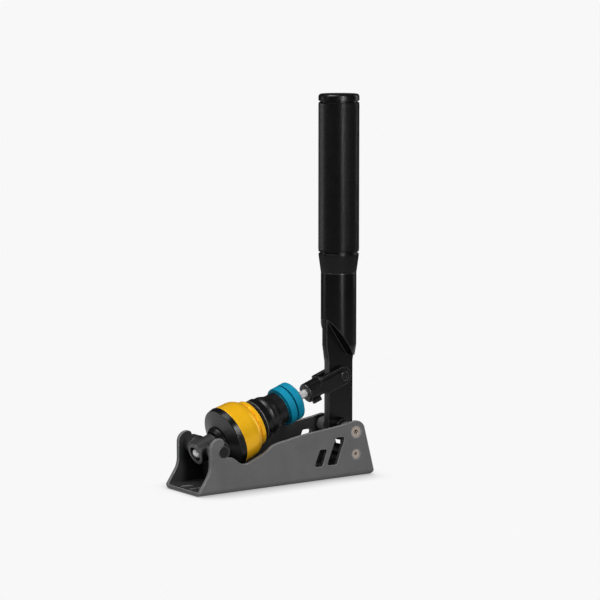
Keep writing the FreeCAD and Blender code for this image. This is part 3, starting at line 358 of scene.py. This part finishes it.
def from_node(name, source, body, mats, place=None, bevel=0.3, segs=2, corner=28.0, tag=None, edge=True, sharp=40.0):
    """The piece's own shape with its edges rounded: flat facets joined, then each sharp edge bevelled."""
    place = place if place is not None else Matrix.Identity(4)
    bm = bmesh.new()
    bm.from_mesh(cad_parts[source].data)
    bmesh.ops.remove_doubles(bm, verts=bm.verts, dist=3e-6)
    bmesh.ops.dissolve_limit(bm, angle_limit=math.radians(0.6), use_dissolve_boundaries=False, verts=bm.verts,
                             edges=bm.edges, delimit=set())
    bm.normal_update()
    for f in bm.faces:
        f.material_index = tag(f) if tag else 0
    if bevel:
        sharp_edges = [e for e in bm.edges if len(e.link_faces) == 2 and e.calc_face_angle(0.0) > math.radians(corner)]
        # the bevel faces take the last material in the list; where that is a paler edge copy, it paints a highlight
        # along the edges
        bmesh.ops.bevel(bm, geom=sharp_edges, offset=bevel * MM, offset_type="OFFSET", segments=segs, profile=0.5,
                        affect="EDGES", clamp_overlap=False, material=(len(mats) - 1) if edge else -1, loop_slide=True)
    low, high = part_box(source)
    for v in bm.verts:
        v.co = Vector([min(max(c, l), h) for c, l, h in zip(v.co, low, high)])
    bmesh.ops.remove_doubles(bm, verts=bm.verts, dist=2e-6)
    bmesh.ops.dissolve_degenerate(bm, dist=1e-6, edges=bm.edges)
    me = bpy.data.meshes.new(name)
    bm.transform(place.inverted())
    bm.to_mesh(me)
    bm.free()
    return finish_mesh(name, me, place, body, [source], mats, sharp)


def dress(node_name, m):
    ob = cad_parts[node_name]
    ob.data.materials.clear()
    ob.data.materials.append(m)


# ---------------------------------------------------------------- base
# Picks faces for painted shade: the window walls (2) and the inner faces of the channel (1) get darker copies of the
# grey powder that stand for the shade inside the bracket.
def base_side(f):
    c, n = f.calc_center_median(), f.normal
    if 28.0 < c.x * 1000 < 70.0 and 13.5 < c.z * 1000 < 42.0 and abs(n.y) < 0.3 and 26.0 < abs(c.y) * 1000 < 30.0:
        return 2
    inside = abs(c.y) < 26.2 * MM and c.z > 3.9 * MM and abs(n.x) < 0.6
    return 1 if inside and not (n.z < -0.5) else 0


from_node("bracket_shell", "base_bracket", "base", [POWDER, POWDER_INSIDE_SHADE, POWDER_WALL_SHADE, POWDER_EDGE_HIGHLIGHT], bevel=0.35,
          tag=base_side)
def in_socket(x, z, across):
    """Marks the walls and the bottom of a screw's hexagon socket, which get a dark material: painted shade in the
    recess.
    """
    def side(f):
        c = f.calc_center_median()
        return 1 if math.hypot(c.x - x * MM, c.z - z * MM) < (across / math.sqrt(3.0) + 0.03) * MM and abs(c.y) < 29.3 * MM else 0
    return side


from_node("pivot_screw_heads", "pivot_screws", "base", [ZINC, SOCKET_SHADE, ZINC_EDGE_HIGHLIGHT], bevel=0.25,
          tag=in_socket(80.4, 44.4, 4.0))
from_node("stop_screw_heads", "stop_screws", "base", [ZINC, SOCKET_SHADE, ZINC_EDGE_HIGHLIGHT], bevel=0.2,
          tag=in_socket(80.4, 22.5, 3.0))
from_node("spacer_bushes", "pivot_spacers", "base", [DULL_STEEL], place=CROSS, bevel=0.3)
dress("pivot_axle", STEEL)
dress("stop_tube", STEEL)
from_node("stop_buffer", "stop_sleeve", "base", [RUBBER], bevel=0.0)

# ---------------------------------------------------------------- lever
def milled_end(f):
    """The narrow milled sides of the tongue get a rougher black than its broad sides, painted paler to stand for the
    light that falls on them from the side.
    """
    return 1 if abs(f.normal.x) > 0.97 and f.calc_center_median().z < 118.0 * MM else 0


from_node("lever_bar", "lever_shaft", "lever", [BLACK, BLACK_MILLED_LIT, BLACK_EDGE_HIGHLIGHT], place=LEVER, bevel=0.45,
          tag=milled_end)
from_node("hub_plates", "hub_discs", "lever", [BLACK_TURNED, BLACK_EDGE_HIGHLIGHT], place=CROSS, bevel=0.15)
from_node("hub_fasteners", "hub_screws", "lever", [OXIDE, OXIDE_EDGE_HIGHLIGHT], bevel=0.1)
from_node("flanged_bushes", "pivot_bushes", "lever", [PLASTIC], place=CROSS, bevel=0.15)
turned("grip_foot", [(199.2, 12.0, 0), (199.2, 17.5, 0.25), (215.6, 19.75, 0.6), (217.6, 19.75, 0.4), (217.6, 18.4, 0.2),
                     (219.5, 18.4, 0.2), (219.5, 12.0, 0)], "lever", ["grip_collar"], [BLACK_TURNED],
       place=LEVER)
turned("grip_cap", [(365.1, 4.0, 0), (365.1, 18.4, 0.2), (366.5, 18.4, 0.2), (366.5, 20.0, 0.45), (373.3, 20.0, 3.2),
                    (373.3, 7.0, 0.4), (367.8, 7.0, 0.2), (367.8, 4.0, 0)], "lever", ["end_cap"],
       [BLACK_TURNED], place=LEVER, steps=6)
from_node("grip_fastener", "grip_bolt", "lever", [OXIDE, OXIDE_EDGE_HIGHLIGHT], place=LEVER, bevel=0.25)


def knurled(z0, z1, r, depth, around, height, inner):
    """A tube whose outside is cut by two families of crossing grooves, so that small flat-topped diamonds stand."""
    rows = 2 * round((z1 - z0 - 2.0) / height)
    lo, hi = z0 + 1.0, z1 - 1.0
    step = (hi - lo) / rows
    rv = r - depth
    verts, faces = [], []

    def put(z, rad, ang):
        verts.append((z * MM, rad * math.cos(ang) * MM, rad * math.sin(ang) * MM))
        return len(verts) - 1

    w = 2 * math.pi / around
    grid = [[put(lo + k * step, rv, (i + 0.5 * (k % 2)) * w) for i in range(around)] for k in range(rows + 1)]
    top = 0.42
    for k in range(rows + 1):
        for i in range(around):
            left, right = grid[k][i], grid[k][(i + 1) % around]
            a = (i + 0.5 * (k % 2) + 0.5) * w
            z = lo + k * step
            col = i if k % 2 == 0 else (i + 1) % around
            up = grid[k + 1][col] if k < rows else None
            down = grid[k - 1][col] if k > 0 else None
            if up is None:
                faces.append((left, right, down))
                continue
            if down is None:
                faces.append((left, up, right))
                continue
            tl, tr = put(z, r, a - 0.5 * w * top), put(z, r, a + 0.5 * w * top)
            tu, td = put(z + step * top, r, a), put(z - step * top, r, a)
            faces += [(tl, td, tr, tu), (left, tl, tu, up), (up, tu, tr, right), (right, tr, td, down), (down, td, tl, left)]
    for first, z_end in ((grid[0], z0), (grid[rows], z1)):
        sgn = 1 if z_end == z0 else -1
        rings = [first]
        for z, rad in ((z_end + sgn * 0.75, r - 0.12), (z_end + sgn * 0.45, r - 0.10), (z_end + sgn * 0.1, r - 0.45),
                       (z_end, r - 0.7), (z_end, inner)):
            rings.append([put(z, rad, (i + 0.5 * (0 if first is grid[0] else rows % 2)) * w) for i in range(around)])
        for a, b in zip(rings, rings[1:]):
            for i in range(around):
                j = (i + 1) % around
                faces.append((a[i], a[j], b[j], b[i]))
        if sgn == 1:
            low_ring = rings[-1]
        else:
            high_ring = rings[-1]
    for i in range(around):
        j = (i + 1) % around
        faces.append((low_ring[i], low_ring[j], high_ring[j], high_ring[i]))
    me = bpy.data.meshes.new("knurl")
    me.from_pydata(verts, [], faces)
    bm = bmesh.new()
    bm.from_mesh(me)
    bmesh.ops.recalc_face_normals(bm, faces=bm.faces)
    bm.to_mesh(me)
    bm.free()
    return me


grip = finish_mesh("knurled_grip", knurled(219.5, 365.1, 20.0, 0.52, 56, 2.3, 12.0), LEVER, "lever",
                   ["grip_sleeve"], [KNURL, KNURL_TOP_HIGHLIGHT], sharp=12.0, weighted=False)
for p in grip.data.polygons:
    # the diamonds' flat tops get a brighter, glossier black than the grooves: a painted highlight where light catches
    # the tops
    if min(math.hypot(grip.data.vertices[i].co.y, grip.data.vertices[i].co.z) for i in p.vertices) > 19.99 * MM:
        p.material_index = 1

# ---------------------------------------------------------------- damper unit
def stub_end(f):
    """The stubs' outer end faces are dark."""
    return 1 if abs(f.calc_center_median().y) > 25.0 * MM and abs(f.normal.y) > 0.9 else 0


def cover_flank(me):
    """The cover's rim and flank get a darker, less glossy black than its front: painted shade that keeps them dark."""
    for p in me.polygons:
        c = p.center
        if math.hypot(c.y, c.z) > 28.6 * MM:
            p.material_index = 1


from_node("trunnion_stubs", "trunnions", "load_cell_unit", [SATIN, OXIDE, SATIN_EDGE_HIGHLIGHT],
          place=Matrix.Translation(TRUNNION) @ Matrix.Rotation(math.pi / 2, 4, "Z"), bevel=0.3, tag=stub_end)
from_node("shank_bar", "shank", "load_cell_unit", [SATIN_BAR, SATIN_EDGE_HIGHLIGHT], place=DAMPER, bevel=0.3)
turned("shank_bolt", [(-15.2, 0.0), (-15.2, 0.9, 0), ("m", -14.1, 3.6), (-11.2, 5.4, 0.3), (-4.5, 5.4, 0.1), (-4.5, 4.0, 0.1),
                      (34.0, 4.0, 0.3), (34.0, 0.0)], "load_cell_unit", ["shank_screw"], [BRIGHT], segs=96)
turned("neck_ring", [(8.0, 4.0, 0), (8.0, 9.4, 0.1), (9.5, 9.4, 0.1), (9.5, 12.4, 0.6), (14.1, 15.5, 0.7), (14.1, 12.2, 0.1),
                     (15.6, 12.2, 0.1), (15.6, 4.0, 0)], "load_cell_unit", ["shank_collar"],
       [BLACK_TURNED])
cover = turned("cell_cover", [(15.6, 4.0, 0), (15.6, 15.0, 0.8), (20.0, 29.0, 1.4), (25.7, 30.0, 0.25), (25.7, 27.0, 0),
                      (22.3, 27.0, 0), (18.6, 12.0, 0), (26.0, 12.0, 0), (26.0, 4.0, 0)], "load_cell_unit",
["sensor_cover"], [SATIN, BLACK], steps=5, segs=192)
cover_flank(cover.data)

ring = revolve(outline([(25.7, 24.0, 0), (25.7, 29.3, 0.1), (26.1, 29.7, 0.25), (37.0, 29.0, 0), ("m", 44.2, 27.6), (48.6, 24.6, 0.25), (49.0, 24.0, 0.15), (49.0, 21.7, 0.2),
                        (50.5, 21.7, 0.2), (50.5, 22.8, 0.2), (51.0, 23.2, 0.25), (54.3, 23.2, 0.3), (54.9, 22.6, 0.2),
                        (54.9, 17.0, 0.15), (46.0, 17.0, 0), (46.0, 24.0, 0)], 0.2, 4), 192)
housing = bpy.data.objects.new("ring_blank", ring)
bpy.context.scene.collection.objects.link(housing)


def round_bar(x, y0, y1, r, segs=64):
    """A short bar along Y, for cutting a hole."""
    me = bpy.data.meshes.new("cutter")
    verts = []
    for y in (y0, y1):
        for k in range(segs):
            a = 2 * math.pi * k / segs
            verts.append(((x + r * math.cos(a)) * MM, y * MM, r * math.sin(a) * MM))
    faces = [tuple(range(segs)), tuple(range(2 * segs - 1, segs - 1, -1))]
    faces += [(k, segs + k, segs + (k + 1) % segs, (k + 1) % segs) for k in range(segs)]
    me.from_pydata(verts, [], faces)
    bm = bmesh.new()
    bm.from_mesh(me)
    bmesh.ops.recalc_face_normals(bm, faces=bm.faces)
    bm.to_mesh(me)
    bm.free()
    ob = bpy.data.objects.new("cutter", me)
    bpy.context.scene.collection.objects.link(ob)
    return ob


cutters = [round_bar(33.5, 15.0, 40.0, 5.0), round_bar(33.5, 27.9, 45.0, 7.0)]
for c in cutters:
    cut = housing.modifiers.new("hole", "BOOLEAN")
    cut.operation = "DIFFERENCE"
    cut.solver = "EXACT"
    cut.object = c
bpy.context.view_layer.update()
graph = bpy.context.evaluated_depsgraph_get()
bored = bpy.data.meshes.new_from_object(housing.evaluated_get(graph))
for o in (housing, *cutters):
    bpy.data.objects.remove(o)
bored.materials.clear()
finish_mesh("gold_ring", bored, DAMPER, "load_cell_unit", ["damper_housing"], [GOLD], sharp=30.0)

from_node("signal_socket", "cable_socket", "load_cell_unit", [PLASTIC], place=DAMPER, bevel=0.15)
turned("inner_sleeve", [(44.0, 0.0), (44.0, 20.0, 0), (46.0, 20.0, 0), (46.0, 17.0, 0), (59.5, 17.0, 0.2), (59.5, 4.6, 0),
                        (47.5, 4.6, 0), (47.5, 0.0)], "load_cell_unit", ["thrust_sleeve"], [OXIDE])
turned("thin_washer", [(59.5, 6.0, 0), (59.5, 20.5, 0.15), (60.3, 20.5, 0.15), (60.3, 6.0, 0)], "load_cell_unit",
       ["thrust_washer"], [DULL_STEEL])
turned("stack_ring", [(60.3, 6.0, 0), (60.3, 20.1, 0.1), (60.7, 20.5, 0.2), (66.0, 20.5, 0.35), (67.0, 19.5, 0.35),
                      (67.0, 6.0, 0)], "load_cell_unit", ["stack_flange"], [BLACK_TURNED])
soft = [
    turned("black_bumper", [(67.0, 4.6, 0), (67.0, 18.3, 0.2), (68.0, 18.3, 0.3), ("m", 70.6, 19.15), (74.0, 18.7, 0),
                            ("m", 77.3, 17.4), (80.4, 16.45, 0), (88.5, 16.35, 0.3), (89.0, 15.9, 0.2), (89.0, 4.6, 0)],
           "load_cell_unit", ["elastomer_black"], [RUBBER]),
    turned("blue_disc_front", [(89.0, 4.6, 0), (89.0, 15.2, 0), (89.8, 15.2, 0.1), (89.8, 19.4, 0.75), (97.1, 19.4, 0.75),
                               (97.1, 15.2, 0.1), (97.9, 15.2, 0), (97.9, 4.6, 0)], "load_cell_unit",
           ["elastomer_blue_front"], [BLUE]),
    turned("blue_disc_rear", [(97.9, 4.6, 0), (97.9, 15.2, 0), (98.7, 15.2, 0.1), (98.7, 19.4, 0.75), (106.0, 19.4, 0.75),
                              (106.0, 15.2, 0.1), (106.8, 15.2, 0), (106.8, 4.6, 0)], "load_cell_unit",
           ["elastomer_blue_rear"], [BLUE]),
]
for piece in soft:
    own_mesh(piece)
dress("load_cell", STEEL)
dress("amplifier_board", BOARD)
dress("rod_guide", BRONZE)

# ---------------------------------------------------------------- rod and fork
turned("steel_rod", [(58.0, 0.0), (58.0, 3.4, 0.1), (58.6, 4.0, 0.2), (142.0, 4.0, 0), (142.0, 0.0)], "push_rod_unit",
       ["push_rod"], [BRIGHT], segs=96)
turned("clamp_washer", [(106.8, 4.0, 0), (106.8, 15.0, 0.2), (108.8, 15.0, 0.2), (108.8, 4.0, 0)], "push_rod_unit",
       ["pressure_washer"], [STEEL])
from_node("clamp_nut", "rod_nut", "push_rod_unit", [STEEL], place=DAMPER, bevel=0.35)
from_node("fork", "fork_head", "push_rod_unit", [OXIDE, OXIDE_EDGE_HIGHLIGHT], place=DAMPER, bevel=0.45)
from_node("fork_pin", "clevis_pin", "push_rod_unit", [OXIDE, OXIDE_EDGE_HIGHLIGHT], place=DAMPER, bevel=0.18)
from_node("fork_clip", "spring_clip", "push_rod_unit", [OXIDE, OXIDE_EDGE_HIGHLIGHT], place=DAMPER, bevel=0.06)

# ---------------------------------------------------------------- floor, light, camera
scene = bpy.context.scene
scene.view_settings.view_transform = "Standard"
scene.view_settings.look = "None"
scene.view_settings.exposure = 0.0
scene.view_settings.gamma = 1.0

WHITE = 0.939
floor_mesh = bpy.data.meshes.new("floor")
half = 120.0
floor_mesh.from_pydata([(-half, -half, 0), (half, -half, 0), (half, half, 0), (-half, half, 0)], [], [(0, 1, 2, 3)])
floor = bpy.data.objects.new("floor", floor_mesh)
scene.collection.objects.link(floor)
floor.location.z = -0.00005
fm = bpy.data.materials.new("pale_floor")
fm.use_nodes = True
ft = fm.node_tree
ft.nodes.clear()
fo = node(ft, "ShaderNodeOutputMaterial")
# painted contact shadow: the floor's glow is dimmed by ambient occlusion close to the object
contact_shade = node(ft, "ShaderNodeAmbientOcclusion", samples=24)
contact_shade.inputs["Distance"].default_value = 0.032
shade = node(ft, "ShaderNodeMapRange")
shade.inputs["From Min"].default_value = 0.42
shade.inputs["From Max"].default_value = 0.97
shade.inputs["To Min"].default_value = 0.52 * WHITE
shade.inputs["To Max"].default_value = WHITE
ft.links.new(contact_shade.outputs["AO"], shade.inputs["Value"])
seen_floor = node(ft, "ShaderNodeEmission")
seen_floor.inputs["Color"].default_value = (1, 1, 1, 1)
ft.links.new(shade.outputs[0], seen_floor.inputs["Strength"])
bounce = node(ft, "ShaderNodeBsdfDiffuse")
bounce.inputs["Color"].default_value = (0.15, 0.15, 0.15, 1)
ray = node(ft, "ShaderNodeLightPath")
# what polished faces mirror: a pale sheet that fades out a metre away
spot = node(ft, "ShaderNodeTexCoord")
far_off = node(ft, "ShaderNodeVectorMath", operation="LENGTH")
ft.links.new(spot.outputs["Object"], far_off.inputs[0])
fade = node(ft, "ShaderNodeMapRange", interpolation_type="SMOOTHSTEP")
fade.inputs["From Min"].default_value = 0.35
fade.inputs["From Max"].default_value = 1.15
fade.inputs["To Min"].default_value = 0.62
fade.inputs["To Max"].default_value = 0.04
ft.links.new(far_off.outputs["Value"], fade.inputs["Value"])
mirrored = node(ft, "ShaderNodeEmission")
mirrored.inputs["Color"].default_value = (1, 1, 1, 1)
ft.links.new(fade.outputs[0], mirrored.inputs["Strength"])
gloss = node(ft, "ShaderNodeMixShader")
ft.links.new(ray.outputs["Is Glossy Ray"], gloss.inputs[0])
ft.links.new(bounce.outputs[0], gloss.inputs[1])
ft.links.new(mirrored.outputs[0], gloss.inputs[2])
which = node(ft, "ShaderNodeMixShader")
ft.links.new(ray.outputs["Is Camera Ray"], which.inputs[0])
ft.links.new(gloss.outputs[0], which.inputs[1])
ft.links.new(seen_floor.outputs[0], which.inputs[2])
ft.links.new(which.outputs[0], fo.inputs[0])
floor_mesh.materials.append(fm)

world = bpy.data.worlds.new("studio")
scene.world = world
world.use_nodes = True
wt = world.node_tree
wt.nodes.clear()
wo = node(wt, "ShaderNodeOutputWorld")
seen = node(wt, "ShaderNodeBackground")
seen.inputs["Color"].default_value = (WHITE, WHITE, WHITE, 1)
lit = node(wt, "ShaderNodeBackground")
lit.inputs["Color"].default_value = (1.0, 1.0, 1.0, 1)
lit.inputs["Strength"].default_value = 0.035
path = node(wt, "ShaderNodeLightPath")
pick = node(wt, "ShaderNodeMixShader")
wt.links.new(path.outputs["Is Camera Ray"], pick.inputs[0])
wt.links.new(lit.outputs[0], pick.inputs[1])
wt.links.new(seen.outputs[0], pick.inputs[2])
wt.links.new(pick.outputs[0], wo.inputs[0])

CENTRE = Vector((0.03, 0.0, 0.14))
AWAY = Vector((-0.5766, -0.8170, 0.0))
RIGHT = Vector((0.8170, -0.5766, 0.0))


def soft_light(name, turn, height, distance, size, power, aim=CENTRE):
    """A large soft light, turned so many degrees to the right of the camera as seen from the object."""
    a = math.radians(turn)
    at = CENTRE + (AWAY * math.cos(a) + RIGHT * math.sin(a)) * distance
    at.z = height
    data = bpy.data.lights.new(name, "AREA")
    data.shape = "RECTANGLE"
    data.size, data.size_y = size
    data.energy = power
    ob = bpy.data.objects.new(name, data)
    scene.collection.objects.link(ob)
    ob.location = at
    ob.rotation_mode = "QUATERNION"
    ob.rotation_quaternion = (aim - at).to_track_quat("-Z", "Y")
    return ob


soft_light("front_right_box", 25, 0.70, 1.7, (0.28, 1.2), 24.0)
soft_light("left_box", -108, 0.20, 1.5, (0.50, 0.9), 1.4)
soft_light("left_front_strip", -70, 0.90, 1.5, (0.30, 1.2), 1.6)
soft_light("top_box", -58, 1.7, 0.9, (1.0, 1.0), 30.0)
soft_light("back_right_strip", 120, 0.7, 1.7, (0.3, 1.4), 4.0)

cam_data = bpy.data.cameras.new("camera")
cam = bpy.data.objects.new("camera", cam_data)
scene.collection.objects.link(cam)
scene.camera = cam
cam_data.sensor_width = 36.0
cam_data.lens = 150.85
cam.location = (-1.36216, -1.97902, 0.47024)
cam.rotation_euler = (math.radians(83.038), 0.0, math.radians(-35.204))
cam_data.clip_start, cam_data.clip_end = 0.05, 200.0
